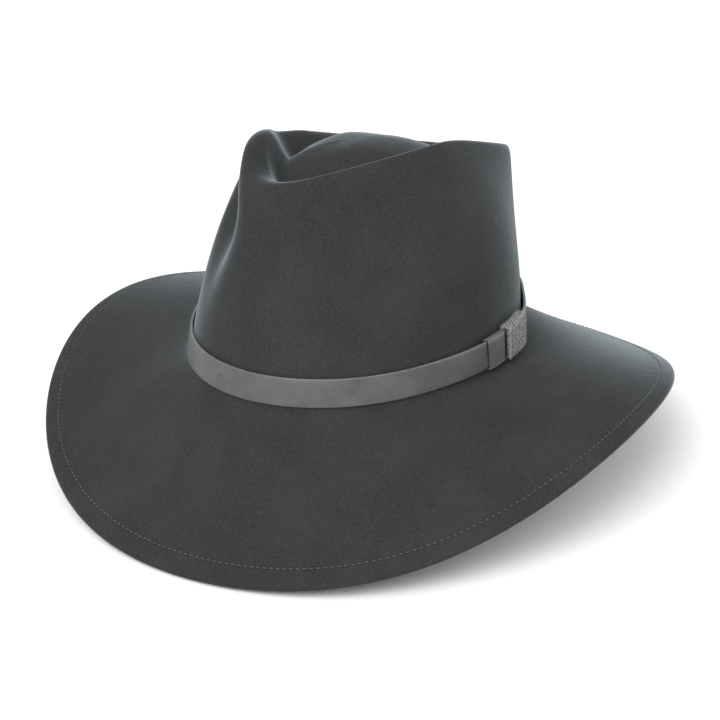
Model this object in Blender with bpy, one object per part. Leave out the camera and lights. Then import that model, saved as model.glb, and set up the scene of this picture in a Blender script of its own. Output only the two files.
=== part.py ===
"""A bush-style cowboy hat in wool felt, with a leather band, for Blender 4.5.

Units are metres and +Z is up. The origin is the middle of the head opening, in the plane where the
crown meets the brim. The hat faces -Y and the wearer's left is +X. An angle around the hat, called
turn, is 0 at the front and 90 degrees at the wearer's left.
"""

from math import cos, hypot, pi, radians, sin, sqrt

import bmesh
import bpy
from mathutils import Matrix, Vector

# Head opening: the inside of the sweatband, and the layers out to the felt's face.
HEAD_CIRCUMFERENCE = 0.578
OVAL_LENGTH_TO_WIDTH = 1.195
SWEATBAND_THICKNESS = 0.0011
SWEATBAND_GAP = 0.0004
FELT_THICKNESS = 0.0022

# Brim: the outline in plan, and how far its edge drops below the head opening at five turns.
BRIM_WIDTH_OVERALL = 0.3574
BRIM_LENGTH_OVERALL = 0.3526
BRIM_CENTRE_Y = -0.0010
BRIM_FRONT_DROP = 0.0620
BRIM_FRONT_QUARTER_DROP = 0.0452
BRIM_SIDE_DROP = 0.0098
BRIM_REAR_QUARTER_DROP = 0.0336
BRIM_BACK_DROP = 0.0500
BRIM_CURL_FRONT = 1.0
BRIM_CURL_BACK = 0.85
BREAK_RADIUS = 0.0045

# The brim's edge is turned under and stitched down.
HEM_WIDTH = 0.0105
HEM_GAP = 0.0003
STITCH_LINE_INSET = 0.0085
THREAD_DIAMETER = 0.0008

# Crown: the plan of its top rim, its height at the front and the back, and the dent in its top.
RIM_HALF_WIDTH = 0.0525
RIM_CENTRE_X = 0.003
RIM_CENTRE_Y = 0.016
RIM_FRONT_REACH = 0.090
RIM_BACK_REACH = 0.090
RIM_FRONT_POWER = 1.78
RIM_BACK_POWER = 4.8
RIM_FRONT_SKEW = 0.15
RIM_SKEW_START_Y = -0.025
PROW_REACH = 0.0055
PROW_TURN = radians(-26)
PROW_SPREAD = radians(26)
RIM_DIP = 0.0060
RIM_DIP_TURN = radians(0)
RIM_DIP_SPREAD = radians(40)
RIM_FRONT_HEIGHT = 0.1232
RIM_BACK_HEIGHT = 0.0875
RIM_FALL_START_Y = -0.030
RIM_FALL_POWER = 1.3
CROWN_LEAN_FRONT = -0.03
CROWN_LEAN_BACK = 0.09
CROWN_LEAN_START_Y = -0.045
CROWN_LEAN_RUN = 0.060
SIDE_FULLNESS = 1.3
FOOT_LEAN = 0.15
WALL_BOW_FRONT = -0.0022
WALL_BOW_BACK = 0.0028
RIM_ROUNDING_SIDE = 0.0035
RIM_ROUNDING_FRONT = 0.018
RIM_ROUNDING_FRONT_TURN = radians(-16)
RIM_ROUNDING_FRONT_SPREAD = radians(40)
BROAD_RIM_TURN = radians(-30)
BROAD_RIM_SPREAD = radians(52)
BROAD_RIM_SHARE = 0.22
RIM_ROUNDING_BACK = 0.014
GROOVE_DEPTH = 0.014
GROOVE_SHARE = 0.78
PIT_DEPTH = 0.017
PIT_SHARE = 0.70
DOME_Y = -0.008
DOME_HEIGHT = 0.1172
DOME_FULLNESS = 2.2

# The two pinches, pressed into the front of the crown on either side.
PINCH_DEPTH_LEFT = 0.006
PINCH_DEPTH_RIGHT = 0.017
PINCH_TURN_LEFT = radians(38)
PINCH_SPREAD_LEFT = radians(24)
PINCH_TURN_RIGHT = radians(-35)
PINCH_SPREAD_RIGHT = radians(25)
PINCH_LEVEL = 0.76
PINCH_FOOT = 0.30
PINCH_FOOT_NARROWING = 0.4

# Hatband: a leather strap, its sliding keeper and the cord lashed round its joint.
STRAP_HEIGHT = 0.0150
STRAP_THICKNESS = 0.0016
STRAP_FOOT = 0.0034
STRAP_GAP = 0.0005
STANDOFF_AT_CORD = 0.0034
STANDOFF_TURNS = (radians(52), radians(94), radians(111), radians(131))
KEEPER_TURN = radians(87.5)
KEEPER_LENGTH = 0.0150
KEEPER_THICKNESS = 0.0006
KEEPER_CLEARANCE = 0.0004
CORD_DIAMETER = 0.0029
CORD_PITCH = 0.0034
CORD_COILS = 8
CORD_BACK_THICKNESS = 0.0020
CORD_CLEARANCE = 0.00035
CORD_KEEPER_GAP = 0.0013
STRAP_JOINT_GAP = 0.0004
TACK_COUNT = 6
FIRST_TACK_TURN = radians(-13.2)
TACK_SPACING = 0.081
TACKS_TO_THE_RIGHT = 4
TACK_LENGTH = 0.0022
TACK_DIAMETER = 0.0007

# Sweatband: a leather strip inside the crown, with a reed in its lower edge.
SWEATBAND_HEIGHT = 0.040
SWEATBAND_FOOT = 0.0008
REED_DIAMETER = 0.0016
REED_GAP = 0.0004
SWEATBAND_JOINT_GAP = 0.0006
SWEATBAND_STITCH_HEIGHT = 0.0040
SEAM_TAPE_WIDTH = 0.014
SEAM_TAPE_THICKNESS = 0.0005
BOW_WIDTH = 0.024
BOW_HEIGHT = 0.009
BOW_THICKNESS = 0.0016
BOW_LEVEL = 0.010
TAB_WIDTH = 0.016
TAB_HEIGHT = 0.012
TAB_THICKNESS = 0.0005
TAB_TURN = radians(150)
TAB_LEVEL = 0.0240

TOUCH_GAP = 0.0003
AROUND = 72


def oval_from_circumference(circumference, ratio):
    """Half-width and half-length of an oval, by Ramanujan's formula for an ellipse."""
    unit = pi * (3 * (1 + ratio) - sqrt((3 + ratio) * (1 + 3 * ratio)))
    half_width = circumference / unit
    return half_width, half_width * ratio


HEAD_OVAL = oval_from_circumference(HEAD_CIRCUMFERENCE, OVAL_LENGTH_TO_WIDTH)
LAYERS = SWEATBAND_THICKNESS + SWEATBAND_GAP + FELT_THICKNESS
BASE_OVAL = (HEAD_OVAL[0] + LAYERS, HEAD_OVAL[1] + LAYERS)
EDGE_RADIUS = FELT_THICKNESS + HEM_GAP / 2


def turns(count, start=0.0, end=2 * pi, closed=True):
    """Evenly spaced turns; a closed run leaves out its last one, which is its first."""
    steps = count if closed else count - 1
    return [start + (end - start) * i / steps for i in range(count)]


def smooth(value):
    """0 to 1 with level ends."""
    value = min(max(value, 0.0), 1.0)
    return value * value * (3 - 2 * value)


def mix(a, b, share):
    return a + (b - a) * share


def bump(value, spread):
    """1 at zero, falling smoothly to 0 at the spread."""
    return 0.5 + 0.5 * cos(pi * min(abs(value) / spread, 1.0))


def around_distance(turn, middle):
    """The smaller angle between two turns."""
    return abs((turn - middle + pi) % (2 * pi) - pi)


def brim_drop(turn):
    """The cosine series through the five named drops."""
    ends = (BRIM_FRONT_DROP + BRIM_BACK_DROP) / 2
    quarters = (BRIM_FRONT_QUARTER_DROP + BRIM_REAR_QUARTER_DROP) / 2
    even = (ends + BRIM_SIDE_DROP) / 2
    odd = (BRIM_FRONT_DROP - BRIM_BACK_DROP) / 2
    odd_quarters = (BRIM_FRONT_QUARTER_DROP - BRIM_REAR_QUARTER_DROP) / sqrt(2)
    return (
        (even + quarters) / 2
        + (odd + odd_quarters) / 2 * cos(turn)
        + (ends - BRIM_SIDE_DROP) / 2 * cos(2 * turn)
        + (odd - odd_quarters) / 2 * cos(3 * turn)
        + (even - quarters) / 2 * cos(4 * turn)
    )


def oval_point(turn, half_width, half_length, power=2.0):
    """A point of an oval in the direction of the turn; a power over 2 squares its corners."""
    s, c = sin(turn), cos(turn)
    radius = ((abs(s) / half_width) ** power + (abs(c) / half_length) ** power) ** (-1 / power)
    return Vector((radius * s, -radius * c, 0))


def base_point(turn):
    """A point of the felt's outer face at the foot of the crown."""
    return oval_point(turn, *BASE_OVAL)


def rim_point(turn):
    """A point of the crown's top rim, before its rounding."""
    rear = smooth(0.5 - 0.9 * cos(turn))
    reach = RIM_FRONT_REACH if cos(turn) > 0 else RIM_BACK_REACH
    point = oval_point(turn, RIM_HALF_WIDTH, reach, mix(RIM_FRONT_POWER, RIM_BACK_POWER, rear))
    point += Vector((RIM_CENTRE_X, RIM_CENTRE_Y, 0))
    point.x -= RIM_FRONT_SKEW * max(RIM_SKEW_START_Y - point.y, 0.0)
    prow = PROW_REACH * bump(around_distance(turn, PROW_TURN), PROW_SPREAD)
    point += Vector((sin(turn), -cos(turn), 0)) * prow
    run = (point.y - RIM_FALL_START_Y) / (RIM_CENTRE_Y + RIM_BACK_REACH - RIM_FALL_START_Y)
    fall = max(run, 0.0) ** RIM_FALL_POWER
    lean = mix(CROWN_LEAN_FRONT, CROWN_LEAN_BACK, smooth((point.y - CROWN_LEAN_START_Y) / CROWN_LEAN_RUN))
    dip = RIM_DIP * bump(around_distance(turn, RIM_DIP_TURN), RIM_DIP_SPREAD)
    point.z = mix(RIM_FRONT_HEIGHT, RIM_BACK_HEIGHT, fall) + lean * point.x - dip
    return point


def wall_point(turn, level):
    """The crown's outer wall, from the break at level 0 to the rim at level 1."""
    base, rim = base_point(turn), rim_point(turn)
    bulge = level ** (1 + SIDE_FULLNESS * sin(turn) ** 2)
    lean = mix(bulge, level, FOOT_LEAN)
    point = Vector((mix(base.x, rim.x, lean), mix(base.y, rim.y, lean), rim.z * level))
    bow = mix(WALL_BOW_FRONT, WALL_BOW_BACK, smooth(0.5 - 0.7 * cos(turn)))
    point += Vector((sin(turn), -cos(turn), 0)) * bow * sin(pi * level**0.8)
    for side, spread, depth in (
        (PINCH_TURN_LEFT, PINCH_SPREAD_LEFT, PINCH_DEPTH_LEFT),
        (PINCH_TURN_RIGHT, PINCH_SPREAD_RIGHT, PINCH_DEPTH_RIGHT),
    ):
        narrowing = smooth((level - PINCH_FOOT) / (PINCH_LEVEL - PINCH_FOOT))
        press = bump(around_distance(turn, side), spread * mix(PINCH_FOOT_NARROWING, 1, narrowing))
        press *= narrowing if level < PINCH_LEVEL else bump(level - PINCH_LEVEL, 1 - PINCH_LEVEL)
        inward = Vector((-sin(side), cos(side), 0)).normalized()
        point += inward * depth * press
    return point


def broad_rim(turn):
    """1 where the top's rim is broad and rounded, falling to 0 where it is a sharp fold."""
    return bump(around_distance(turn, BROAD_RIM_TURN), BROAD_RIM_SPREAD)


def groove_share(turn):
    """The share of the top at which the dent is deepest."""
    shoulder = 1 - BROAD_RIM_SHARE * broad_rim(turn)
    return mix(PIT_SHARE, GROOVE_SHARE, smooth(0.5 - 0.7 * cos(turn))) * mix(1, shoulder, 0.8)


def top_point(turn, share):
    """The dented top: share 1 at the rim, 0 at the middle of the dome."""
    rim = wall_point(turn, 1.0)
    middle = Vector((0, DOME_Y, DOME_HEIGHT))
    shoulder = 1 - BROAD_RIM_SHARE * broad_rim(turn)
    groove = groove_share(turn)
    floor = rim.z - mix(PIT_DEPTH, GROOVE_DEPTH, smooth(0.5 - 0.7 * cos(turn)))
    if share > groove:
        height = mix(floor, rim.z, smooth((share - groove) / (shoulder - groove)))
    else:
        height = mix(DOME_HEIGHT, floor, (share / groove) ** DOME_FULLNESS)
    return Vector((rim.x * share, mix(middle.y, rim.y, share), height))


def dent_point(turn, share):
    """The top inside the rim's rounding: share 0.5 is the bottom of the dent, and 1 meets the rounding."""
    if share < 0.5:
        return top_point(turn, groove_share(turn) * share * 2)
    return top_point(turn, mix(groove_share(turn), rounding_start(turn), share * 2 - 1))


def rounding_start(turn):
    """The share of the top at which the rim's rounding starts."""
    rim = rim_point(turn)
    return 1.0 - rim_rounding(turn) / hypot(rim.x, rim.y - DOME_Y)


def rim_rounding(turn):
    front = bump(around_distance(turn, RIM_ROUNDING_FRONT_TURN), RIM_ROUNDING_FRONT_SPREAD)
    front *= RIM_ROUNDING_FRONT - RIM_ROUNDING_SIDE
    back = max(-cos(turn), 0.0) ** 2 * (RIM_ROUNDING_BACK - RIM_ROUNDING_SIDE)
    return RIM_ROUNDING_SIDE + front + back


def rounded_rim(turn, share):
    """The curve over the rim: share 0 is on the wall and 1 is on the top, a rounding away from it."""
    reach = rim_rounding(turn)
    rim = wall_point(turn, 1.0)
    wall = wall_point(turn, 1.0 - reach / rim.z)
    top = top_point(turn, rounding_start(turn))
    return wall * (1 - share) ** 2 + rim * 2 * share * (1 - share) + top * share**2


def brim_point(turn, share):
    """The brim's upper face: share 0 at the break and 1 where its edge starts to turn under."""
    base = base_point(turn)
    half_width = BRIM_WIDTH_OVERALL / 2 - EDGE_RADIUS
    half_length = BRIM_LENGTH_OVERALL / 2 - EDGE_RADIUS
    edge = oval_point(turn, half_width, half_length) + Vector((0, BRIM_CENTRE_Y, 0))
    edge.z = -brim_drop(turn)
    point = base.lerp(edge, share)
    point.z = edge.z * share ** mix(BRIM_CURL_FRONT, BRIM_CURL_BACK, smooth(0.5 - 0.7 * cos(turn)))
    return point


def rounded_break(turn, share):
    """The curve from the brim, at share 0, into the crown's wall, at share 1."""
    brim = brim_point(turn, BREAK_RADIUS / brim_reach(turn))
    wall = wall_point(turn, BREAK_RADIUS / rim_point(turn).z)
    corner = wall_point(turn, 0.0)
    return brim * (1 - share) ** 2 + corner * 2 * share * (1 - share) + wall * share**2


def brim_reach(turn):
    return (brim_point(turn, 1.0) - brim_point(turn, 0.0)).length


def profile():
    """The felt's outer face as (surface, share) steps from the middle of the top to the brim's edge."""
    steps = [(dent_point, share) for share in (0.13, 0.26, 0.39, 0.5, 0.61, 0.74, 0.87)]
    steps += [(rounded_rim, share) for share in (1.0, 0.75, 0.5, 0.25, 0.0)]
    steps += [(wall_point, level) for level in (0.80, 0.70, 0.59, 0.48, 0.36, 0.24, 0.13)]
    steps += [(rounded_break, share) for share in (1.0, 0.5, 0.0)]
    steps += [(brim_point, share) for share in (0.17, 0.34, 0.51, 0.68, 0.82, 0.92, 1.0)]
    return steps


def face_normal(surface, turn, share):
    """The unit normal of a surface, on the side away from the head."""
    step = 0.002
    low, high = max(share - step, 0.0), min(share + step, 1.0)
    along = surface(turn, high) - surface(turn, low)
    across = surface(turn + step, share) - surface(turn - step, share)
    normal = across.cross(along).normalized()
    outward_steps = surface in (top_point, dent_point, brim_point)
    return -normal if outward_steps else normal


def under_face(surface, turn, share):
    return surface(turn, share) - face_normal(surface, turn, share) * FELT_THICKNESS


def hem_point(turn, inset, depth):
    """A point under the brim, this far in from the start of its edge and this deep."""
    share = 1.0 - inset / brim_reach(turn)
    return brim_point(turn, share) - face_normal(brim_point, turn, share) * depth


def edge_point(turn, radius, angle):
    """The turned edge: angle 0 on the upper face, and half a turn on the lower one."""
    normal = face_normal(brim_point, turn, 1.0)
    outward = (brim_point(turn, 1.0) - brim_point(turn, 0.96)).normalized()
    centre = brim_point(turn, 1.0) - normal * EDGE_RADIUS
    return centre + normal * radius * cos(angle) + outward * radius * sin(angle)


def felt_rings():
    """Every ring of the felt, from the top's middle over the brim's edge and back inside."""
    spread = turns(AROUND)
    full = 2 * FELT_THICKNESS + HEM_GAP
    rings = [[surface(t, share) for t in spread] for surface, share in profile()]
    for angle in (45, 90, 135, 180):
        rings.append([edge_point(t, EDGE_RADIUS, radians(angle)) for t in spread])
    for inset in (HEM_WIDTH / 2, HEM_WIDTH):
        rings.append([hem_point(t, inset, full) for t in spread])
    for inset in (HEM_WIDTH, HEM_WIDTH / 2, 0.0):
        rings.append([hem_point(t, inset, FELT_THICKNESS + HEM_GAP) for t in spread])
    rings.append([edge_point(t, HEM_GAP / 2, radians(90)) for t in spread])
    for inset in (0.0, HEM_WIDTH / 2, HEM_WIDTH):
        rings.append([hem_point(t, inset, FELT_THICKNESS) for t in spread])
    inner = [step for step in reversed(profile()) if not (step[0] is brim_point and step[1] > 0.85)]
    rings += [[under_face(surface, t, share) for t in spread] for surface, share in inner]
    return rings


def new_object(name, mesh, look):
    mesh.materials.append(look)
    obj = bpy.data.objects.new(name, mesh)
    bpy.context.scene.collection.objects.link(obj)
    return obj


def finish_mesh(name, bm, look, sharp_angle=radians(40)):
    """Turns a bmesh into a smooth-shaded object with its faces pointing out."""
    bmesh.ops.recalc_face_normals(bm, faces=bm.faces)
    mesh = bpy.data.meshes.new(name)
    bm.to_mesh(mesh)
    bm.free()
    mesh.shade_smooth()
    mesh.set_sharp_from_angle(angle=sharp_angle)
    return new_object(name, mesh, look)


def loft(name, rings, look, closed_ends):
    """Extrudes a ring of edges through the rings in turn.

    Closed ends draw the first and last ring together at a point; otherwise the last ring joins the
    first, as on a hollow band.
    """
    bm = bmesh.new()
    made = bmesh.ops.create_circle(bm, segments=len(rings[0]), radius=1.0)
    edges = list(bm.edges)
    first = made["verts"]
    for vert, place in zip(first, rings[0]):
        vert.co = place
    for ring in rings[1:]:
        step = bmesh.ops.extrude_edge_only(bm, edges=edges)["geom"]
        edges = [item for item in step if isinstance(item, bmesh.types.BMEdge)]
        verts = [item for item in step if isinstance(item, bmesh.types.BMVert)]
        for vert, place in zip(verts, ring):
            vert.co = place
    if closed_ends:
        loops = [e for e in bm.edges if e.is_boundary]
        for end in (first, verts):
            cap = bmesh.ops.contextual_create(bm, geom=[e for e in loops if e.verts[0] in end])
            bmesh.ops.poke(bm, faces=cap["faces"])
    else:
        bmesh.ops.bridge_loops(bm, edges=[e for e in bm.edges if e.is_boundary])
    return finish_mesh(name, bm, look)


def sweep(name, sections, look):
    """Joins equal cross-sections, each a loop of points, into one bar with flat ends."""
    bm = bmesh.new()
    last = None
    for section in sections:
        verts = [bm.verts.new(place) for place in section]
        pairs = zip(verts, verts[1:] + verts[:1])
        edges = [bm.edges.new(pair) for pair in pairs]
        if last:
            bmesh.ops.bridge_loops(bm, edges=last + edges)
        last = edges
    ends = [e for e in bm.edges if e.is_boundary]
    bmesh.ops.holes_fill(bm, edges=ends, sides=len(sections[0]))
    return finish_mesh(name, bm, look)


def thread_loop(name, places, diameter, look, sides=1):
    """A closed loop of round thread or reed through the places."""
    data = bpy.data.curves.new(name, "CURVE")
    data.dimensions = "3D"
    data.bevel_depth = diameter / 2
    data.bevel_resolution = sides
    spline = data.splines.new("POLY")
    spline.points.add(len(places) - 1)
    for point, place in zip(spline.points, places):
        point.co = (*place, 1.0)
    spline.use_cyclic_u = True
    return new_object(name, data, look)


def look(name, color, roughness, metallic=0.0):
    """A Principled material of one colour."""
    material = bpy.data.materials.new(name)
    material.use_nodes = True
    shader = material.node_tree.nodes["Principled BSDF"]
    shader.inputs["Base Color"].default_value = (*color, 1.0)
    shader.inputs["Roughness"].default_value = roughness
    shader.inputs["Metallic"].default_value = metallic
    return material


def strap_standoff(turn):
    """The gap between the crown and the strap, wide where the cord passes behind it."""
    rise_start, rise_end, fall_start, fall_end = STANDOFF_TURNS
    turn = turn % (2 * pi)
    share = smooth((turn - rise_start) / (rise_end - rise_start))
    share *= 1 - smooth((turn - fall_start) / (fall_end - fall_start))
    return mix(STRAP_GAP, STANDOFF_AT_CORD, share)


def strap_frame(turn):
    """The foot of the strap's inner face, with its outward, upward and lengthwise directions."""
    height = rim_point(turn).z
    low = wall_point(turn, STRAP_FOOT / height)
    high = wall_point(turn, (STRAP_FOOT + STRAP_HEIGHT) / height)
    step = 0.01
    along = wall_point(turn + step, STRAP_FOOT / height) - wall_point(turn - step, STRAP_FOOT / height)
    along = Vector((along.x, along.y, 0)).normalized()
    upward = (high - low).normalized()
    outward = along.cross(upward).normalized()
    return low + outward * strap_standoff(turn), outward, upward, along


def strap_section(turn, back, front, below, above):
    """A rectangle round the strap, this far beyond its back, front, foot and top."""
    foot, outward, upward, _ = strap_frame(turn)
    places = []
    for out, up in (
        (-back, -below),
        (STRAP_THICKNESS + front, -below),
        (STRAP_THICKNESS + front, STRAP_HEIGHT + above),
        (-back, STRAP_HEIGHT + above),
    ):
        places.append(foot + outward * out + upward * up)
    return places


def turn_along(start, distance):
    """The turn this far round the strap from another, along its outer face."""
    turn, left = start, distance
    step = radians(0.05)
    sign = 1 if distance > 0 else -1
    while abs(left) > 0:
        here = strap_section(turn, 0, 0, 0, 0)[1]
        there = strap_section(turn + sign * step, 0, 0, 0, 0)[1]
        run = (there - here).length
        if run >= abs(left):
            return turn + sign * step * abs(left) / run
        turn += sign * step
        left -= sign * run
    return turn


KEEPER_TURNS = (
    turn_along(KEEPER_TURN, -KEEPER_LENGTH / 2),
    turn_along(KEEPER_TURN, KEEPER_LENGTH / 2),
)
CORD_START = turn_along(KEEPER_TURNS[1], CORD_KEEPER_GAP)
CORD_END = turn_along(CORD_START, CORD_PITCH * (CORD_COILS - 1) + CORD_DIAMETER)
STRAP_JOINT_TURN = turn_along(CORD_START, CORD_PITCH * CORD_COILS / 2)


def make_felt_body(felt):
    return loft("felt_body", felt_rings(), felt, closed_ends=True)


def make_brim_stitching(thread):
    """The thread of the hem's stitch line, as one loop a touch above the felt."""
    height = THREAD_DIAMETER / 2 + TOUCH_GAP
    places = [hem_point(t, STITCH_LINE_INSET, -height) for t in turns(AROUND)]
    return thread_loop("brim_stitching", places, THREAD_DIAMETER, thread)


def make_strap(leather):
    """A flat strap whose two ends meet under the cord."""
    half_gap = STRAP_JOINT_GAP / 2
    start = turn_along(STRAP_JOINT_TURN, half_gap)
    end = turn_along(STRAP_JOINT_TURN, -half_gap) + 2 * pi
    spread = turns(AROUND + 24, start, end, closed=False)
    return sweep("hatband_strap", [strap_section(t, 0, 0, 0, 0) for t in spread], leather)


def sleeve(name, spread, inside, outside, corner, look_):
    """A short tube round the strap; inside and outside are its clearances on each of its sides.

    Its four outer corners are rounded by the corner's radius.
    """
    outer = [rounded_section(turn, outside, corner) for turn in spread]
    inner = [rounded_section(turn, inside, min(corner, *inside) / 2) for turn in reversed(spread)]
    around = zip(*(outer + inner))
    return loft(name, list(around), look_, closed_ends=False)


def rounded_section(turn, limits, radius):
    """The strap_section with each of its corners replaced by three points of a round."""
    corners = strap_section(turn, *limits)
    places = []
    for before, corner, after in zip(corners[-1:] + corners[:-1], corners, corners[1:] + corners[:1]):
        back = (before - corner).normalized() * radius
        ahead = (after - corner).normalized() * radius
        middle = corner + (back + ahead) * (1 - sqrt(0.5))
        places += [corner + back, middle, corner + ahead]
    return places


def make_keeper(leather):
    """The leather loop that slides along the strap."""
    clear = KEEPER_CLEARANCE
    wall = clear + KEEPER_THICKNESS
    spread = turns(7, *KEEPER_TURNS, closed=False)
    corner = KEEPER_THICKNESS / 2
    return sleeve("hatband_keeper", spread, (clear,) * 4, (wall,) * 4, corner, leather)


def make_cord_wrap(cord):
    """The cord's coils round the strap as one sleeve, pressed flatter behind the strap."""
    clear = CORD_CLEARANCE
    proud = clear + CORD_DIAMETER
    inside = (clear,) * 4
    outside = (clear + CORD_BACK_THICKNESS, proud, CORD_CLEARANCE + CORD_BACK_THICKNESS, proud)
    spread = turns(9, CORD_START, CORD_END, closed=False)
    return sleeve("hatband_cord_wrap", spread, inside, outside, CORD_DIAMETER * 0.4, cord)


def make_tack(index, thread):
    """A short stitch that holds the strap to the crown."""
    turn = turn_along(FIRST_TACK_TURN, TACK_SPACING * (index - TACKS_TO_THE_RIGHT))
    foot, outward, upward, along = strap_frame(turn)
    centre = foot + upward * STRAP_HEIGHT / 2
    centre += outward * (STRAP_THICKNESS + TACK_DIAMETER / 2 + TOUCH_GAP)
    bm = bmesh.new()
    bmesh.ops.create_cone(
        bm,
        cap_ends=True,
        segments=8,
        radius1=TACK_DIAMETER / 2,
        radius2=TACK_DIAMETER / 2,
        depth=TACK_LENGTH,
    )
    turned = Matrix((outward, upward, along)).transposed()
    bmesh.ops.transform(bm, matrix=Matrix.Translation(centre) @ turned.to_4x4(), verts=bm.verts)
    return finish_mesh(f"hatband_tack_{index + 1}", bm, thread)


def inner_wall(turn, level, depth):
    """A place inside the crown, this high above the break and this far in from the felt's outer face."""
    share = level / rim_point(turn).z
    return wall_point(turn, share) - face_normal(wall_point, turn, max(share, 0.02)) * depth


def sweatband_place(turn, level, inward):
    """A place on the sweatband, inward from its outer face."""
    return inner_wall(turn, level, FELT_THICKNESS + SWEATBAND_GAP + inward)


def make_sweatband(leather):
    """A leather strip that stands inside the crown, with its ends butted at the back."""
    half_gap = SWEATBAND_JOINT_GAP / 2 / BASE_OVAL[0]
    spread = turns(AROUND + 1, pi + half_gap, 3 * pi - half_gap, closed=False)
    levels = [SWEATBAND_FOOT + SWEATBAND_HEIGHT * share for share in (0, 0.33, 0.67, 1)]
    sections = []
    for turn in spread:
        outer = [sweatband_place(turn, level, 0.0) for level in levels]
        inner = [sweatband_place(turn, level, SWEATBAND_THICKNESS) for level in reversed(levels)]
        sections.append(outer + inner)
    return sweep("sweatband", sections, leather)


def make_reed(reed):
    """The springy reed below the sweatband's lower edge."""
    level = SWEATBAND_FOOT - REED_GAP - REED_DIAMETER / 2
    inward = SWEATBAND_THICKNESS / 2
    places = [
        sweatband_place(t, SWEATBAND_FOOT, inward) + Vector((0, 0, level - SWEATBAND_FOOT))
        for t in turns(AROUND)
    ]
    return thread_loop("sweatband_reed", places, REED_DIAMETER, reed, sides=2)


def make_sweatband_stitching(thread):
    """The stitch line just above the reed, on the sweatband's inner face."""
    inward = SWEATBAND_THICKNESS + TOUCH_GAP + THREAD_DIAMETER / 2
    level = SWEATBAND_FOOT + SWEATBAND_STITCH_HEIGHT
    places = [sweatband_place(t, level, inward) for t in turns(AROUND)]
    return thread_loop("sweatband_stitching", places, THREAD_DIAMETER, thread)


def patch_on_sweatband(name, turn, width, low, high, gap, thickness, look_):
    """A flat piece that lies against the sweatband's inner face."""
    half = width / 2 / BASE_OVAL[0]
    near = SWEATBAND_THICKNESS + gap
    levels = [mix(low, high, step / 4) for step in range(5)]
    sections = []
    for t in turns(5, turn - half, turn + half, closed=False):
        section = [sweatband_place(t, level, near) for level in levels]
        section += [sweatband_place(t, level, near + thickness) for level in reversed(levels)]
        sections.append(section)
    return sweep(name, sections, look_)


def make_seam_tape(leather):
    """The strip that covers the sweatband's butted ends, above its stitching."""
    low = SWEATBAND_FOOT + SWEATBAND_STITCH_HEIGHT + THREAD_DIAMETER
    high = SWEATBAND_FOOT + SWEATBAND_HEIGHT
    return patch_on_sweatband(
        "sweatband_seam_tape", pi, SEAM_TAPE_WIDTH, low, high, TOUCH_GAP, SEAM_TAPE_THICKNESS, leather
    )


def make_size_tab(tab):
    """A small plain tab tucked against the sweatband."""
    low, high = TAB_LEVEL - TAB_HEIGHT / 2, TAB_LEVEL + TAB_HEIGHT / 2
    return patch_on_sweatband(
        "size_tab", TAB_TURN, TAB_WIDTH, low, high, TOUCH_GAP, TAB_THICKNESS, tab
    )


def make_bow(ribbon):
    """The small ribbon bow over the sweatband's seam: two loops pinched at a knot."""
    inward = SWEATBAND_THICKNESS + 2 * TOUCH_GAP + SEAM_TAPE_THICKNESS
    sections = []
    for share in (-1.0, -0.85, -0.5, -0.16, 0.0, 0.16, 0.5, 0.85, 1.0):
        turn = pi + share * BOW_WIDTH / 2 / BASE_OVAL[0]
        swell = 0.30 + 0.20 * bump(abs(share) - 0.7, 0.6)
        if abs(share) < 0.1:
            swell = 0.34
        low = BOW_LEVEL + SWEATBAND_FOOT + BOW_HEIGHT * (0.5 - swell)
        high = BOW_LEVEL + SWEATBAND_FOOT + BOW_HEIGHT * (0.5 + swell)
        sections.append(
            [
                sweatband_place(turn, low, inward),
                sweatband_place(turn, high, inward),
                sweatband_place(turn, high, inward + BOW_THICKNESS),
                sweatband_place(turn, low, inward + BOW_THICKNESS),
            ]
        )
    return sweep("sweatband_bow", sections, ribbon)


def keeper_pivot():
    """The middle of the circle that the strap follows at the keeper, level with the strap's middle."""
    places = []
    for turn in (KEEPER_TURNS[0] - radians(4), KEEPER_TURN, KEEPER_TURNS[1]):
        foot, outward, upward, _ = strap_frame(turn)
        places.append(foot + outward * STRAP_THICKNESS / 2 + upward * STRAP_HEIGHT / 2)
    a, b, c = places
    scale = 2 * ((a.x - c.x) * (b.y - c.y) - (b.x - c.x) * (a.y - c.y))
    square_a = (a.x - c.x) * (a.x + c.x) + (a.y - c.y) * (a.y + c.y)
    square_b = (b.x - c.x) * (b.x + c.x) + (b.y - c.y) * (b.y + c.y)
    x = (square_a * (b.y - c.y) - square_b * (a.y - c.y)) / scale
    y = (square_b * (a.x - c.x) - square_a * (b.x - c.x)) / scale
    return Vector((x, y, b.z))


def put_under_pivot(obj, place):
    """Parents an object to an empty on its joint's axis."""
    pivot = bpy.data.objects.new(obj.name + "_pivot", None)
    pivot.location = place
    bpy.context.scene.collection.objects.link(pivot)
    obj.parent = pivot
    obj.matrix_parent_inverse = Matrix.Translation(-place)


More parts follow.
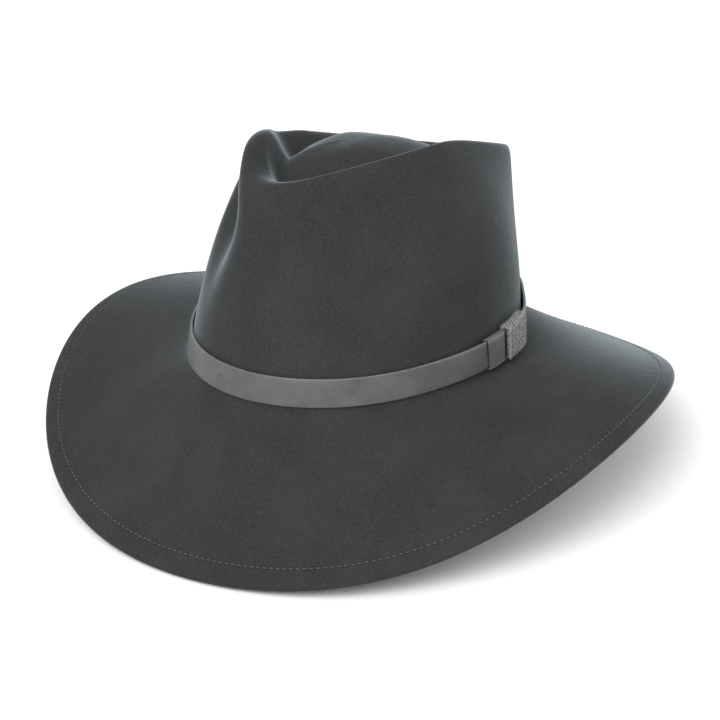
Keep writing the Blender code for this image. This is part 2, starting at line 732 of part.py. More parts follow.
def build():
    for obj in list(bpy.data.objects):
        bpy.data.objects.remove(obj, do_unlink=True)
    felt = look("charcoal_felt", (0.055, 0.060, 0.064), 0.95)
    leather = look("black_leather", (0.030, 0.030, 0.032), 0.48)
    cord = look("waxed_cord", (0.055, 0.052, 0.055), 0.60)
    thread = look("charcoal_thread", (0.075, 0.080, 0.084), 0.80)
    lining_leather = look("sweatband_leather", (0.16, 0.085, 0.045), 0.55)
    reed = look("reed", (0.05, 0.05, 0.05), 0.50)
    ribbon = look("ribbon", (0.03, 0.03, 0.032), 0.60)
    tab = look("size_tab", (0.75, 0.74, 0.70), 0.60)
    make_felt_body(felt)
    make_brim_stitching(thread)
    make_strap(leather)
    put_under_pivot(make_keeper(leather), keeper_pivot())
    make_cord_wrap(cord)
    for index in range(TACK_COUNT):
        make_tack(index, thread)
    make_sweatband(lining_leather)
    make_reed(reed)
    make_sweatband_stitching(thread)
    make_seam_tape(lining_leather)
    make_bow(ribbon)
    make_size_tab(tab)


build()
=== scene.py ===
"""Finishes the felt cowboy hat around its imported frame.

Each part of the hat is a class that holds its sizes and makes and dresses its own pieces. The felt, the
leathers, the reed, the tacks and the tab are refined copies of the frame's solids; the cord, the brim's and
the sweatband's stitches and the bow are made here. All sizes are in metres. The hat faces -Y, its crown
points to +Z, and the wearer's left is +X.
"""

import logging
import math
from dataclasses import dataclass, field
from enum import Enum
from typing import Iterable, Sequence

import bmesh
import bpy
from mathutils import Matrix, Vector
from mathutils.bvhtree import BVHTree

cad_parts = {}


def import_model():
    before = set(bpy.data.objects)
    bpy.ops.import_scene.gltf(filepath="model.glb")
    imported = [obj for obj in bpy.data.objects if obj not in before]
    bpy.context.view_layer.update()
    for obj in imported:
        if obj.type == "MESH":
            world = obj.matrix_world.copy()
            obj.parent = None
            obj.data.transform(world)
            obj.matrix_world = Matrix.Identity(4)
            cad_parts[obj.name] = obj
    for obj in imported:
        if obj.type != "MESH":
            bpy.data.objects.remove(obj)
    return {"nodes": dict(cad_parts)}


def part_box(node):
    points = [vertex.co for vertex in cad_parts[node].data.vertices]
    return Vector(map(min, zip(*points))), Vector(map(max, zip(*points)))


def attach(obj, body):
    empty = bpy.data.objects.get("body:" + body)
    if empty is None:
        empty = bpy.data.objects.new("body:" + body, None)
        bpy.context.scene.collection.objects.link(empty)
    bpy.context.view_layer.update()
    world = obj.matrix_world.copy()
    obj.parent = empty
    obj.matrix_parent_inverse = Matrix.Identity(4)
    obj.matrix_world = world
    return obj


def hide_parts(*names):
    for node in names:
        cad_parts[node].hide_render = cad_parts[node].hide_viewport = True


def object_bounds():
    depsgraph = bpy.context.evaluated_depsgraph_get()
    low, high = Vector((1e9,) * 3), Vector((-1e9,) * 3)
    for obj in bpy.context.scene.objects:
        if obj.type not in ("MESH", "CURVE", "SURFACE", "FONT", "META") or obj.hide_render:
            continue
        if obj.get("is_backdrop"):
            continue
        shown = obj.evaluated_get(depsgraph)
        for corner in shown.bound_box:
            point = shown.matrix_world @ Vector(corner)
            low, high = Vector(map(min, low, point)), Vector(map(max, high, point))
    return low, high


LOG = logging.getLogger("hat")

Color = tuple[float, float, float]


class Body(str, Enum):
    """The bodies of the frame that a piece can ride on."""

    HAT = "hat"
    KEEPER = "keeper"


class Slot(str, Enum):
    """The finish slots of the record."""

    FELT = "felt"
    LEATHER = "leather"
    CORD = "cord"
    THREAD = "thread"
    SWEATBAND = "sweatband"
    REED = "reed"
    RIBBON = "ribbon"
    TAB = "tab"


# ---------------------------------------------------------------- finishes


class Shading:
    """A material under construction: a principled shader and the nodes that feed it."""

    def __init__(self, name: str) -> None:
        """Starts an empty node material.

        Args:
            name: The material's name.
        """
        self.material = bpy.data.materials.new(name)
        self.material.use_nodes = True
        self.tree = self.material.node_tree
        self.shader = self.tree.nodes["Principled BSDF"]
        self.place = self.tree.nodes.new("ShaderNodeTexCoord").outputs["Object"]

    def node(self, kind: str, inputs: dict[str, object], **settings: object) -> bpy.types.Node:
        """Adds a node.

        Args:
            kind: The node's type, without its ShaderNode prefix.
            inputs: A value or an output socket for each named or numbered input.
            **settings: Properties of the node.

        Returns:
            The new node.
        """
        made = self.tree.nodes.new("ShaderNode" + kind)
        for key, value in settings.items():
            setattr(made, key, value)
        for key, value in inputs.items():
            socket = made.inputs[int(key) if key.isdigit() else key]
            if isinstance(value, bpy.types.NodeSocket):
                self.tree.links.new(value, socket)
            else:
                socket.default_value = value
        return made

    def noise(
        self, scale: float, detail: float = 4.0, stretch: Sequence[float] = (1, 1, 1)
    ) -> bpy.types.NodeSocket:
        """A cloudy value between 0 and 1.

        Args:
            scale: Clouds in each metre.
            detail: How many finer layers it has.
            stretch: How much denser it is along each axis.

        Returns:
            The value's socket.
        """
        place = self.node("Mapping", {"Vector": self.place, "Scale": tuple(stretch)}).outputs[0]
        inputs = {"Vector": place, "Scale": scale, "Detail": detail, "Roughness": 0.6}
        return self.node("TexNoise", inputs).outputs[0]

    def cells(self, scale: float) -> bpy.types.NodeSocket:
        """The distance to the nearest of many scattered points, for leather's pebbles.

        Args:
            scale: Cells in each metre.

        Returns:
            The value's socket.
        """
        return self.node("TexVoronoi", {"Vector": self.place, "Scale": scale}).outputs["Distance"]

    def math(self, operation: str, *values: object) -> bpy.types.NodeSocket:
        """A sum on one, two or three values.

        Args:
            operation: The name of the operation.
            *values: Numbers or sockets.

        Returns:
            The result's socket.
        """
        inputs = {str(i): value for i, value in enumerate(values)}
        return self.node("Math", inputs, operation=operation).outputs[0]

    def span(
        self, value: bpy.types.NodeSocket, low: float, high: float, to: tuple[float, float]
    ) -> bpy.types.NodeSocket:
        """Maps a value's range onto another, smoothly and with its ends held.

        Args:
            value: The socket to map.
            low: The value that becomes the first of to.
            high: The value that becomes the second of to.
            to: The new range.

        Returns:
            The mapped value's socket.
        """
        inputs = {"Value": value, "From Min": low, "From Max": high, "To Min": to[0], "To Max": to[1]}
        return self.node("MapRange", inputs, interpolation_type="SMOOTHSTEP").outputs[0]

    def blend(self, share: object, first: object, second: object) -> bpy.types.NodeSocket:
        """Mixes two colours.

        Args:
            share: How much of the second, as a number or a socket.
            first: A colour or a socket.
            second: A colour or a socket.

        Returns:
            The mixed colour's socket.
        """
        made = self.node("Mix", {"0": share}, data_type="RGBA")
        for index, value in ((6, first), (7, second)):
            if isinstance(value, bpy.types.NodeSocket):
                self.tree.links.new(value, made.inputs[index])
            else:
                made.inputs[index].default_value = (*value, 1.0)
        return made.outputs[2]

    def axis(self, letter: str) -> bpy.types.NodeSocket:
        """One coordinate of the place on the hat, X, Y or Z."""
        return self.node("SeparateXYZ", {"0": self.place}).outputs[letter]

    def relief(self, height: bpy.types.NodeSocket, depth: float, strength: float = 1.0) -> None:
        """Adds a fine relief, on top of any that is already there.

        Args:
            height: The relief's height, about 0 to 1.
            depth: How deep that height is, in metres.
            strength: How much of it shows.
        """
        inputs = {"Height": height, "Distance": depth, "Strength": strength}
        socket = self.shader.inputs["Normal"]
        if socket.is_linked:
            inputs["Normal"] = socket.links[0].from_socket
        self.tree.links.new(self.node("Bump", inputs).outputs[0], socket)

    def feed(self, **sockets: object) -> None:
        """Sets the shader's inputs.

        Args:
            **sockets: A number, a colour or a socket for each input, with _ for a space.
        """
        for key, value in sockets.items():
            socket = self.shader.inputs[key.replace("_", " ")]
            if isinstance(value, bpy.types.NodeSocket):
                self.tree.links.new(value, socket)
            else:
                socket.default_value = (*value, 1.0) if isinstance(value, tuple) else value


@dataclass(frozen=True)
class FeltFinish:
    """Dense wool felt: a dark ground under paler loose fibres, with a soft sheen."""

    ground: Color = (0.0185, 0.0190, 0.0195)
    fibre: Color = (0.0290, 0.0298, 0.0305)
    dust: Color = (0.0520, 0.0535, 0.0550)
    seam_half_width: float = 0.16995
    seam_half_length: float = 0.16655
    seam_centre_y: float = -0.0010
    pitch_count: int = 306

    def build(self) -> bpy.types.Material:
        """Makes the material.

        Returns:
            The material.
        """
        s = Shading("charcoal_felt")
        clumps = s.noise(900, 6.0)
        fibres = s.noise(2100, 3.0, (1.0, 0.35, 0.6))
        crossed = s.noise(2300, 3.0, (0.3, 1.0, 0.7))
        strands = s.math("MAXIMUM", fibres, crossed)
        patches = s.noise(28, 3.0)
        color = s.blend(s.span(clumps, 0.36, 0.66, (0.0, 1.0)), self.ground, self.fibre)
        color = s.blend(s.span(strands, 0.60, 0.80, (0.0, 0.55)), color, self.dust)
        color = s.blend(s.span(patches, 0.35, 0.70, (0.0, 0.16)), color, self.dust)
        seam = self.seam(s)
        # The seam line is painted darker, most at each stitch hole: painted shade in the groove and holes
        # that the stitches press into the felt.
        color = s.blend(s.math("MULTIPLY", seam, 0.35), color, (0.012, 0.013, 0.014))
        s.feed(Base_Color=color, Roughness=0.95, Specular_IOR_Level=0.15)
        s.feed(Sheen_Weight=0.50, Sheen_Roughness=0.28, Sheen_Tint=(0.80, 0.94, 1.0))
        s.relief(s.noise(140, 3.0), 0.0005, 0.35)
        s.relief(clumps, 0.00030, 0.55)
        s.relief(strands, 0.00016, 0.60)
        s.relief(s.math("SUBTRACT", 1.0, seam), 0.0004, 0.7)
        return s.material

    def seam(self, s: Shading) -> bpy.types.NodeSocket:
        """The line that the brim's stitches press into the felt.

        Args:
            s: The material under construction.

        Returns:
            A value of 1 on the line and 0 away from it.
        """
        across = s.math("DIVIDE", s.axis("X"), self.seam_half_width)
        along = s.math("DIVIDE", s.math("SUBTRACT", s.axis("Y"), self.seam_centre_y), self.seam_half_length)
        radius = s.math("SQRT", s.math("ADD", s.math("POWER", across, 2.0), s.math("POWER", along, 2.0)))
        away = s.math("ABSOLUTE", s.math("SUBTRACT", radius, 1.0))
        turn = s.math("ARCTAN2", along, across)
        beat = s.math("COSINE", s.math("MULTIPLY", turn, float(self.pitch_count)))
        line = s.span(away, 0.0, 0.0085, (1.0, 0.0))
        return s.math("MULTIPLY", line, s.span(beat, -1.0, 0.6, (1.0, 0.35)))


@dataclass(frozen=True)
class LeatherFinish:
    """Smooth leather: fine pebbled grain, uneven gloss and paler edges, which are partly wear and partly a
    painted highlight.
    """

    name: str
    color: Color
    worn: Color
    roughness: float
    edges: tuple[float, float]
    grain: float = 1150.0
    depth: float = 0.00010
    gloss: float = 0.5
    edge_width: float = 0.0011

    def build(self) -> bpy.types.Material:
        """Makes the material.

        Returns:
            The material.
        """
        s = Shading(self.name)
        clouds = s.noise(45, 5.0)
        pores = s.span(s.cells(self.grain), 0.05, 0.55, (0.0, 1.0))
        scuffs = s.noise(900, 2.0, (0.12, 0.12, 2.0))
        color = s.blend(s.span(clouds, 0.3, 0.7, (0.0, 0.35)), self.color, self.worn)
        color = s.blend(s.span(scuffs, 0.62, 0.78, (0.0, 0.30)), color, self.worn)
        # Top and foot edges painted paler, unevenly along their length: partly edge wear, partly a painted
        # highlight along the rounded edges.
        low, high = self.edges
        from_foot = s.span(s.axis("Z"), low, low + self.edge_width, (1.0, 0.0))
        from_top = s.span(s.axis("Z"), high - self.edge_width, high, (0.0, 1.0))
        uneven_edge = s.span(s.noise(260), 0.25, 0.6, (0.45, 1.0))
        edge = s.math("MULTIPLY", s.math("MAXIMUM", from_foot, from_top), uneven_edge)
        color = s.blend(s.math("MULTIPLY", edge, 0.75), color, self.worn)
        rough = s.math("ADD", s.span(clouds, 0.3, 0.7, (-0.05, 0.06)), self.roughness)
        s.feed(Base_Color=color, Roughness=rough, Specular_IOR_Level=self.gloss)
        s.feed(Coat_Weight=0.12, Coat_Roughness=0.35)
        s.relief(s.noise(70, 3.0), 0.0004, 0.30)
        s.relief(pores, self.depth, 0.55)
        s.relief(s.noise(2600, 2.0), 0.00005, 0.5)
        return s.material


@dataclass(frozen=True)
class YarnFinish:
    """Spun cord or thread: paler fibres over painted shade in the fibre relief's hollows, with a slight wax.
    """

    name: str
    deep: Color
    pale: Color
    roughness: float
    scale: float = 2200.0

    def build(self) -> bpy.types.Material:
        """Makes the material.

        Returns:
            The material.
        """
        s = Shading(self.name)
        fibres = s.noise(self.scale, 4.0, (1.0, 1.0, 0.3))
        patches = s.noise(320, 3.0)
        # The tone follows the fibre relief: paler on the raised fibres and darker in the hollows, as painted
        # shade.
        color = s.blend(s.span(fibres, 0.35, 0.70, (0.0, 1.0)), self.deep, self.pale)
        color = s.blend(s.span(patches, 0.55, 0.75, (0.0, 0.4)), color, self.pale)
        rough = s.math("ADD", s.span(patches, 0.3, 0.7, (-0.08, 0.08)), self.roughness)
        s.feed(Base_Color=color, Roughness=rough, Sheen_Weight=0.25, Sheen_Roughness=0.4)
        s.relief(fibres, 0.00012, 0.7)
        return s.material


@dataclass(frozen=True)
class WovenFinish:
    """Ribbed ribbon or woven tape: fine ribs across it and threads along it."""

    name: str
    deep: Color
    pale: Color
    ribs: float
    axis: str
    roughness: float = 0.6

    def build(self) -> bpy.types.Material:
        """Makes the material.

        Returns:
            The material.
        """
        s = Shading(self.name)
        rib = s.math("SINE", s.math("MULTIPLY", s.axis(self.axis), self.ribs * math.tau))
        thread = s.math("SINE", s.math("MULTIPLY", s.axis("Z"), self.ribs * 1.4 * math.tau))
        weave = s.math("ADD", s.math("MULTIPLY", rib, 0.7), s.math("MULTIPLY", thread, 0.3))
        fuzz = s.noise(1800, 3.0)
        height = s.math("ADD", s.span(weave, -1.0, 1.0, (0.0, 1.0)), s.math("MULTIPLY", fuzz, 0.4))
        color = s.blend(s.span(height, 0.2, 1.1, (0.0, 1.0)), self.deep, self.pale)
        s.feed(Base_Color=color, Roughness=self.roughness, Sheen_Weight=0.3, Sheen_Roughness=0.35)
        s.relief(height, 0.00018, 0.7)
        return s.material


@dataclass(frozen=True)
class ReedFinish:
    """The reed's slightly scuffed plastic."""

    color: Color = (0.030, 0.030, 0.031)
    scuffed: Color = (0.075, 0.075, 0.077)

    def build(self) -> bpy.types.Material:
        """Makes the material.

        Returns:
            The material.
        """
        s = Shading("reed_plastic")
        scuffs = s.noise(1300, 4.0, (0.3, 0.3, 1.0))
        color = s.blend(s.span(scuffs, 0.5, 0.75, (0.0, 0.8)), self.color, self.scuffed)
        s.feed(Base_Color=color, Roughness=s.span(scuffs, 0.3, 0.7, (0.35, 0.55)))
        s.relief(scuffs, 0.00004, 0.4)
        return s.material


# ---------------------------------------------------------------- pieces


def solid_copy(node: bpy.types.Object) -> bmesh.types.BMesh:
    """A welded copy of a solid of the frame, with its triangles joined to quads where they can be.

    Args:
        node: The solid's object.

    Returns:
        The mesh under construction.
    """
    bm = bmesh.new()
    bm.from_mesh(node.data)
    bmesh.ops.remove_doubles(bm, verts=bm.verts, dist=2e-6)
    bmesh.ops.join_triangles(
        bm,
        faces=bm.faces,
        angle_face_threshold=math.radians(60),
        angle_shape_threshold=math.radians(75),
    )
    return bm


def add_piece(
    name: str,
    bm: bmesh.types.BMesh,
    finish: bpy.types.Material,
    body: Body = Body.HAT,
    stands_for: Iterable[str] = (),
    subdivisions: int = 0,
) -> bpy.types.Object:
    """Turns a mesh under construction into a finished piece that rides on the frame.

    Args:
        name: The piece's name.
        bm: The mesh, which this call frees.
        finish: Its material.
        body: The body that it rides on.
        stands_for: The frame's nodes that it replaces.
        subdivisions: Levels of smooth subdivision.

    Returns:
        The piece's object.
    """
    mesh = bpy.data.meshes.new(name)
    bm.to_mesh(mesh)
    bm.free()
    mesh.materials.clear()
    mesh.materials.append(finish)
    mesh.shade_smooth()
    piece = bpy.data.objects.new(name, mesh)
    bpy.context.scene.collection.objects.link(piece)
    if subdivisions:
        smooth = piece.modifiers.new("smooth", "SUBSURF")
        smooth.levels = smooth.render_levels = subdivisions
    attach(piece, body.value)
    if stands_for:
        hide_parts(*stands_for)
    LOG.info("%s: %d faces on %s", name, len(mesh.polygons), body.value)
    return piece


def surface_of(piece: bpy.types.Object) -> BVHTree:
    """The piece's finished surface, for finding places on it.

    Args:
        piece: The piece, with its modifiers.

    Returns:
        A tree that rays can be cast at.
    """
    bpy.context.view_layer.update()
    return BVHTree.FromObject(piece, bpy.context.evaluated_depsgraph_get())


def round_edges(bm: bmesh.types.BMesh, width: float, sharper_than: float = 40.0) -> None:
    """Rounds a mesh's sharp edges.

    Args:
        bm: The mesh.
        width: The rounding's width.
        sharper_than: The least angle between two faces that counts as sharp, in degrees.
    """
    limit = math.radians(sharper_than)
    sharp = [e for e in bm.edges if len(e.link_faces) == 2 and e.calc_face_angle() > limit]
    bmesh.ops.bevel(
        bm, geom=sharp, offset=width, segments=2, profile=0.5, affect="EDGES", material=-1, clamp_overlap=True
    )


def around(turn: float) -> Vector:
    """The level direction at a turn, from the front towards the wearer's left."""
    return Vector((math.sin(turn), -math.cos(turn), 0.0))


@dataclass
class StitchRun:
    """A row of short stitches lying on a surface."""

    length: float = 0.0024
    width: float = 0.00085
    height: float = 0.00055
    sink: float = 0.00008

    def sew(self, bm: bmesh.types.BMesh, places: Sequence[tuple[Vector, Vector]], slant: float = 0.0) -> None:
        """Adds one stitch at each place, along the way to the next.

        Args:
            bm: The mesh that takes the stitches.
            places: Each stitch's place and the surface's outward direction there, in a closed row.
            slant: How far each stitch turns from the row, in radians.
        """
        for index, (place, outward) in enumerate(places):
            ahead = places[(index + 1) % len(places)][0] - places[index - 1][0]
            ahead = (ahead - outward * ahead.dot(outward)).normalized()
            side = outward.cross(ahead)
            turned = Matrix((ahead, side, outward)).transposed().to_4x4()
            turned = turned @ Matrix.Rotation(slant, 4, "Z")
            sizes = Matrix.Diagonal((self.length / 2, self.width / 2, self.height / 2, 1.0))
            seat = Matrix.Translation(place + outward * (self.height / 2 - self.sink))
            place_it = seat @ turned @ sizes
            bmesh.ops.create_uvsphere(bm, u_segments=7, v_segments=5, radius=1.0, matrix=place_it)


@dataclass
class FeltBody:
    """The crown and brim in one blocked body of felt, with its edge turned under and stitched."""

    nodes: dict[str, bpy.types.Object]
    stitch: StitchRun = field(default_factory=StitchRun)
    felt: FeltFinish = field(default_factory=FeltFinish)
    thread: YarnFinish = YarnFinish(
        "charcoal_thread", (0.026, 0.027, 0.028), (0.060, 0.063, 0.066), 0.75
    )

    def build(self) -> bpy.types.Object:
        """Makes the felt and its brim's stitches.

        Returns:
            The felt's object.
        """
        bm = solid_copy(self.nodes["felt_body"])
        felt = add_piece("felt", bm, self.felt.build(), stands_for=["felt_body"], subdivisions=2)
        self.sew_brim(felt)
        return felt

    def sew_brim(self, felt: bpy.types.Object) -> None:
        """Sews the turned edge down, on both faces of the brim.

        Args:
            felt: The felt's object.
        """
        surface = surface_of(felt)
        finish = self.thread.build()
        rows = (("brim_stitches", Vector((0, 0, -1)), 0.0), ("brim_stitches_under", Vector((0, 0, 1)), 0.5))
        for name, way, shift in rows:
            places = []
            for index in range(self.felt.pitch_count):
                turn = math.tau * (index + shift) / self.felt.pitch_count
                x = self.felt.seam_half_width * math.sin(turn)
                y = self.felt.seam_centre_y - self.felt.seam_half_length * math.cos(turn)
                hit, outward, _, _ = surface.ray_cast(Vector((x, y, 0)) - way * 0.3, way)
                places.append((hit, outward))
            bm = bmesh.new()
            self.stitch.sew(bm, places)
            stands_for = ["brim_stitching"] if way.z < 0 else []
            add_piece(name, bm, finish, stands_for=stands_for)


@dataclass
class Hatband:
    """The leather strap round the crown, its sliding keeper, its tacks and the cord round its joint."""

    nodes: dict[str, bpy.types.Object]
    leather: LeatherFinish = LeatherFinish(
        "black_leather", (0.040, 0.041, 0.043), (0.120, 0.122, 0.126), 0.43, (0.0034, 0.0184)
    )
    thread: YarnFinish = YarnFinish("tack_thread", (0.030, 0.031, 0.033), (0.100, 0.103, 0.108), 0.60)
    cord: YarnFinish = YarnFinish("waxed_cord", (0.045, 0.045, 0.048), (0.300, 0.297, 0.300), 0.38)
    edge_round: float = 0.00035
    coils: int = 8
    cord_diameter: float = 0.0029
    strand_share: float = 0.52
    twist_length: float = 0.0062
    coil_steps: int = 40
    wrap_start: float = math.radians(93.05)
    wrap_end: float = math.radians(109.69)
    wrap_middle: Vector = field(default_factory=lambda: Vector((0, 0, 0.0112)))

    def build(self) -> None:
        """Makes every piece of the band."""
        finish = self.leather.build()
        self.refine("strap", "hatband_strap", finish, Slot.LEATHER, Body.HAT)
        self.refine("keeper", "hatband_keeper", finish, Slot.LEATHER, Body.KEEPER)
        thread = self.thread.build()
        for index in range(1, 7):
            bm = solid_copy(self.nodes[f"hatband_tack_{index}"])
            name = f"tack_{index}"
            add_piece(name, bm, thread, stands_for=[f"hatband_tack_{index}"], subdivisions=2)
        self.lash()

    def refine(self, name: str, node: str, finish: bpy.types.Material, slot: Slot, body: Body) -> None:
        """Makes a leather piece from a solid of the frame, with its cut edges rounded.

        Args:
            name: The piece's name.
            node: The frame's node.
            finish: Its material.
            slot: Not used.
            body: The body that it rides on.
        """
        bm = solid_copy(self.nodes[node])
        round_edges(bm, self.edge_round)
        add_piece(name, bm, finish, body, [node], subdivisions=1)

    def lash(self) -> None:
        """Winds the twisted cord round the strap, in the place of the frame's sleeve."""
        middle = self.coil_line()
        curve = bpy.data.curves.new("lashing", "CURVE")
        curve.dimensions = "3D"
        curve.bevel_depth = self.cord_diameter * self.strand_share / 2
        curve.bevel_resolution = 2
        offset = self.cord_diameter * (1 - self.strand_share) / 2
        for strand in range(3):
            points = self.strand_points(middle, offset, math.tau * strand / 3)
            spline = curve.splines.new("POLY")
            spline.points.add(len(points) - 1)
            for point, place in zip(spline.points, points):
                point.co = (*place, 1.0)
        holder = bpy.data.objects.new("lashing_curve", curve)
        bpy.context.scene.collection.objects.link(holder)
        mesh = bpy.data.meshes.new_from_object(holder)
        bpy.data.objects.remove(holder)
        bm = bmesh.new()
        bm.from_mesh(mesh)
        open_edges = [e for e in bm.edges if e.is_boundary]
        bmesh.ops.holes_fill(bm, edges=open_edges, sides=0)
        bmesh.ops.recalc_face_normals(bm, faces=bm.faces)
        add_piece("cord_lashing", bm, self.cord.build(), stands_for=["hatband_cord_wrap"])

    def coil_line(self) -> list[Vector]:
        """The cord's middle line, found by looking at the frame's sleeve from all round each of its sections.

        Returns:
            The line's points in order.
        """
        bm = solid_copy(self.nodes["hatband_cord_wrap"])
        sleeve = BVHTree.FromBMesh(bm)
        bm.free()
        radius = self.cord_diameter / 2
        total = self.coils * self.coil_steps
        margin = 0.5 * (self.wrap_end - self.wrap_start) / self.coils
        line = []
        for step in range(total + 1):
            share = step / total
            turn = self.wrap_start + margin + (self.wrap_end - self.wrap_start - 2 * margin) * share
            outward = around(turn)
            low, _, _, _ = sleeve.ray_cast(self.wrap_middle, outward)
            high, _, _, _ = sleeve.ray_cast(self.wrap_middle + outward * 0.3, -outward)
            centre = (low + high) / 2
            angle = math.tau * step / self.coil_steps - math.radians(60)
            look = outward * math.cos(angle) * 0.4 + Vector((0, 0, math.sin(angle)))
            look.normalize()
            hit, normal, _, _ = sleeve.ray_cast(centre + look * 0.03, -look)
            line.append(hit - normal * radius)
        for _ in range(3):
            line = [line[0]] + [(a + b * 2 + c) / 4 for a, b, c in zip(line, line[1:], line[2:])] + [line[-1]]
        return line

    def strand_points(self, middle: Sequence[Vector], offset: float, phase: float) -> list[Vector]:
        """One strand's line, twisted round the cord's middle.

        Args:
            middle: The cord's middle line.
            offset: How far the strand lies from it.
            phase: Where the strand starts, in radians.

        Returns:
            The strand's points, close enough to show its twist.
        """
        points, travelled = [], 0.0
        across = Vector((0, 0, 1))
        spacing = self.twist_length / 10
        for start, end in zip(middle, middle[1:]):
            ahead = end - start
            count = max(1, round(ahead.length / spacing))
            for part in range(count):
                place = start.lerp(end, part / count)
                along = ahead.normalized()
                across = (across - along * across.dot(along)).normalized()
                angle = phase + math.tau * travelled / self.twist_length
                side = across * math.cos(angle) + along.cross(across) * math.sin(angle)
                points.append(place + side * offset)
                travelled += ahead.length / count
        return points


@dataclass
class Sweatband:
    """The leather band inside the crown, with its reed, stitches, seam tape, bow and size tab."""

    nodes: dict[str, bpy.types.Object]
    leather: LeatherFinish = LeatherFinish(
        "sweatband_leather", (0.165, 0.088, 0.047), (0.290, 0.175, 0.105), 0.46, (0.0008, 0.0408), 900.0
    )
    ribbon: WovenFinish = WovenFinish(
        "ribbed_ribbon", (0.018, 0.018, 0.020), (0.060, 0.060, 0.064), 1700.0, "X", 0.5
    )
    tape: WovenFinish = WovenFinish("woven_tab", (0.52, 0.51, 0.47), (0.82, 0.81, 0.77), 2000.0, "X", 0.8)
    thread: YarnFinish = YarnFinish("sweatband_thread", (0.10, 0.085, 0.07), (0.24, 0.21, 0.17), 0.65)
    stitch: StitchRun = field(default_factory=lambda: StitchRun(0.0026, 0.0008, 0.0006))
    stitch_count: int = 210
    stitch_level: float = 0.0048
    edge_round: float = 0.00025
    bow_loop: float = 0.0105
    bow_ribbon: float = 0.0070
    bow_thickness: float = 0.00035
    bow_depth: float = 0.0016

    def build(self) -> None:
        """Makes every piece inside the crown."""
        leather = self.leather.build()
        band = self.refine("sweatband_leather", "sweatband", leather, Slot.SWEATBAND)
        self.refine("seam_tape", "sweatband_seam_tape", leather, Slot.SWEATBAND)
        self.refine("plain_tab", "size_tab", self.tape.build(), Slot.TAB)
        bm = solid_copy(self.nodes["sweatband_reed"])
        add_piece("reed", bm, ReedFinish().build(), stands_for=["sweatband_reed"], subdivisions=1)
        self.sew(band)
        self.tie_bow()

    def refine(self, name: str, node: str, finish: bpy.types.Material, slot: Slot) -> bpy.types.Object:
        """Makes a thin piece from a solid of the frame, with its cut edges rounded.

        Args:
            name: The piece's name.
            node: The frame's node.
            finish: Its material.
            slot: Not used.

        Returns:
            The piece's object.
        """
        bm = solid_copy(self.nodes[node])
        round_edges(bm, self.edge_round if node == "sweatband" else self.edge_round / 2)
        return add_piece(name, bm, finish, Body.HAT, [node], subdivisions=1)

    def sew(self, band: bpy.types.Object) -> None:
        """Sews the slanted stitches above the reed.

        Args:
            band: The sweatband's object.
        """
        surface = surface_of(band)
        places = []
        for index in range(self.stitch_count):
            turn = math.pi + math.tau * (index + 0.5) / self.stitch_count
            start = Vector((0, 0, self.stitch_level))
            hit, outward, _, _ = surface.ray_cast(start, around(turn))
            if hit is not None:
                places.append((hit, outward))
        bm = bmesh.new()
        self.stitch.sew(bm, places, math.radians(28))
        finish = self.thread.build()
        add_piece("sweatband_stitches", bm, finish, stands_for=["sweatband_stitching"])

    def tie_bow(self) -> None:
        """Ties the small ribbon bow: two loops, two short tails and a knot."""
        low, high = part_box("sweatband_bow")
        middle = (low + high) / 2
        back = high.y
        bm = bmesh.new()
        for side in (-1, 1):
            loop = [(side * x, depth) for x, depth in self.loop_path()]
            self.add_ribbon(bm, loop, self.bow_ribbon, middle.z + 0.0004)
            tail = [(side * 0.0008, 0.0006), (side * 0.0045, 0.0005), (side * 0.0085, 0.0004)]
            self.add_ribbon(bm, tail, self.bow_ribbon * 0.55, middle.z - 0.0022)
        knot = [(-0.0015, 0.0002), (-0.0021, 0.0009), (-0.0012, 0.0019), (0.0012, 0.0019), (0.0021, 0.0009)]
        self.add_ribbon(bm, knot + [(0.0015, 0.0002)], self.bow_ribbon * 0.62, middle.z)
        curve = (high.x - low.x) ** 2 / 8 / max(high.y - low.y - self.bow_depth, 1e-4)
        for vert in bm.verts:
            x, depth = vert.co.x, vert.co.y
            vert.co = Vector((middle.x + x, back - depth - x * x / (2 * curve), vert.co.z))
        bmesh.ops.recalc_face_normals(bm, faces=bm.faces)
        add_piece("bow", bm, self.ribbon.build(), stands_for=["sweatband_bow"], subdivisions=1)

    def loop_path(self) -> list[tuple[float, float]]:
        """The path of one loop of the bow, as distances along the band and out from it."""
        near, far = 0.0002, self.bow_depth
        return [
            (0.0006, 0.5 * (near + far)),
            (0.30 * self.bow_loop, near),
            (0.80 * self.bow_loop, near),
            (1.02 * self.bow_loop, 0.35 * far + near),
            (1.05 * self.bow_loop, 0.65 * far),
            (0.90 * self.bow_loop, far),
            (0.45 * self.bow_loop, far * 0.95),
            (0.0006, 0.75 * far),
        ]

    def add_ribbon(
        self, bm: bmesh.types.BMesh, path: Sequence[tuple[float, float]], width: float, level: float
    ) -> None:
        """Adds a strip of ribbon that stands on edge along a path.

        Args:
            bm: The mesh that takes it.
            path: Distances along the band and out from it.
            width: The ribbon's width, up and down.
            level: The height of its middle.
        """
        verts = [bm.verts.new((x, depth, level - width / 2)) for x, depth in path]
        edges = [bm.edges.new(pair) for pair in zip(verts, verts[1:])]
        for _ in range(3):
            made = bmesh.ops.extrude_edge_only(bm, edges=edges)["geom"]
            edges = [item for item in made if isinstance(item, bmesh.types.BMEdge)]
            moved = [item for item in made if isinstance(item, bmesh.types.BMVert)]
            edges = [e for e in edges if e.verts[0] in moved and e.verts[1] in moved]
            bmesh.ops.translate(bm, verts=moved, vec=(0, 0, width / 3))
        strip = {face for vert in verts for face in vert.link_faces}
        while True:
            more = {f for face in strip for edge in face.edges for f in edge.link_faces} - strip
            if not more:
                break
            strip |= more
        bmesh.ops.solidify(bm, geom=list(strip), thickness=self.bow_thickness)


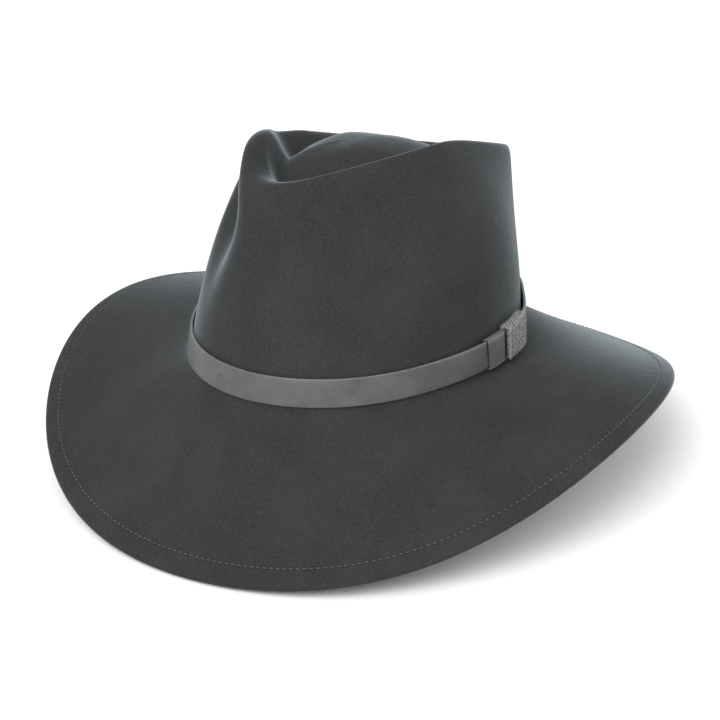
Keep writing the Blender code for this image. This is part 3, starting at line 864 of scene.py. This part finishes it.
@dataclass
class Studio:
    """The pale floor, the soft lights and the camera."""

    floor_size: float = 14.0
    floor_gap: float = 0.0004
    azimuth: float = math.radians(33.18275)
    elevation: float = math.radians(24.12003)
    roll: float = math.radians(-2.46345)
    distance: float = 1.196945
    lens: float = 106.8217
    shift: tuple[float, float] = (0.005338, -0.034879)

    def build(self, lowest: float) -> None:
        """Makes the floor, the lights and the camera.

        Args:
            lowest: The height of the hat's lowest point.
        """
        self.lay_floor(lowest - self.floor_gap)
        self.hang_lights()
        self.place_camera()

    def lay_floor(self, level: float) -> None:
        """Lays the floor.

        Args:
            level: Its height.
        """
        s = Shading("pale_floor")
        clouds = s.span(s.noise(2.0), 0.3, 0.7, (0.0, 1.0))
        s.feed(Base_Color=s.blend(clouds, (0.93, 0.93, 0.93), (0.95, 0.95, 0.95)))
        s.feed(Roughness=0.9, Specular_IOR_Level=0.1)
        bm = bmesh.new()
        bmesh.ops.create_grid(bm, x_segments=2, y_segments=2, size=self.floor_size / 2)
        bmesh.ops.translate(bm, verts=bm.verts, vec=(0, 0, level))
        mesh = bpy.data.meshes.new("floor")
        bm.to_mesh(mesh)
        bm.free()
        mesh.materials.append(s.material)
        floor = bpy.data.objects.new("floor", mesh)
        bpy.context.scene.collection.objects.link(floor)
        floor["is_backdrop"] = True

    def hang_lights(self) -> None:
        """Hangs two large soft panels in a white room and shows whites as plain white."""
        world = bpy.data.worlds.new("white_room")
        world.use_nodes = True
        room = world.node_tree.nodes["Background"]
        room.inputs["Color"].default_value = (1.0, 1.0, 1.0, 1.0)
        room.inputs["Strength"].default_value = 1.02
        bpy.context.scene.world = world
        bpy.context.scene.view_settings.view_transform = "Standard"
        panels = (
            ("key_panel", (0.2, -1.7, 1.5), 1.5, 38.0),
            ("fill_panel", (1.9, 0.5, 1.3), 1.4, 9.0),
        )
        for name, place, size, power in panels:
            light = bpy.data.lights.new(name, "AREA")
            light.shape = "SQUARE"
            light.size = size
            light.energy = power
            lamp = bpy.data.objects.new(name, light)
            bpy.context.scene.collection.objects.link(lamp)
            lamp.location = place
            lamp.rotation_euler = (Vector((0, 0, 0.03)) - Vector(place)).to_track_quat("-Z", "Y").to_euler()

    def place_camera(self) -> None:
        """Places the camera on the wearer's front left, a little above the brim."""
        back = around(self.azimuth) * math.cos(self.elevation) + Vector((0, 0, math.sin(self.elevation)))
        right = Vector((math.cos(self.azimuth), math.sin(self.azimuth), 0))
        up = back.cross(right)
        turned_right = right * math.cos(self.roll) + up * math.sin(self.roll)
        turned_up = up * math.cos(self.roll) - right * math.sin(self.roll)
        data = bpy.data.cameras.new("camera")
        data.sensor_width = 36.0
        data.lens = self.lens
        data.shift_x, data.shift_y = self.shift
        camera = bpy.data.objects.new("camera", data)
        bpy.context.scene.collection.objects.link(camera)
        axes = Matrix((turned_right, turned_up, back)).transposed().to_4x4()
        camera.matrix_world = Matrix.Translation(back * self.distance) @ axes
        bpy.context.scene.camera = camera


def main() -> None:
    """Loads the frame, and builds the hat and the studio."""
    logging.basicConfig(level=logging.INFO, format="%(name)s: %(message)s")
    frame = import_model()
    solid_box = [list(corner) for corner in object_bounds()]
    nodes = frame["nodes"]
    Studio().build(solid_box[0][2])
    FeltBody(nodes).build()
    Hatband(nodes).build()
    Sweatband(nodes).build()


if __name__ == "__main__":
    main()
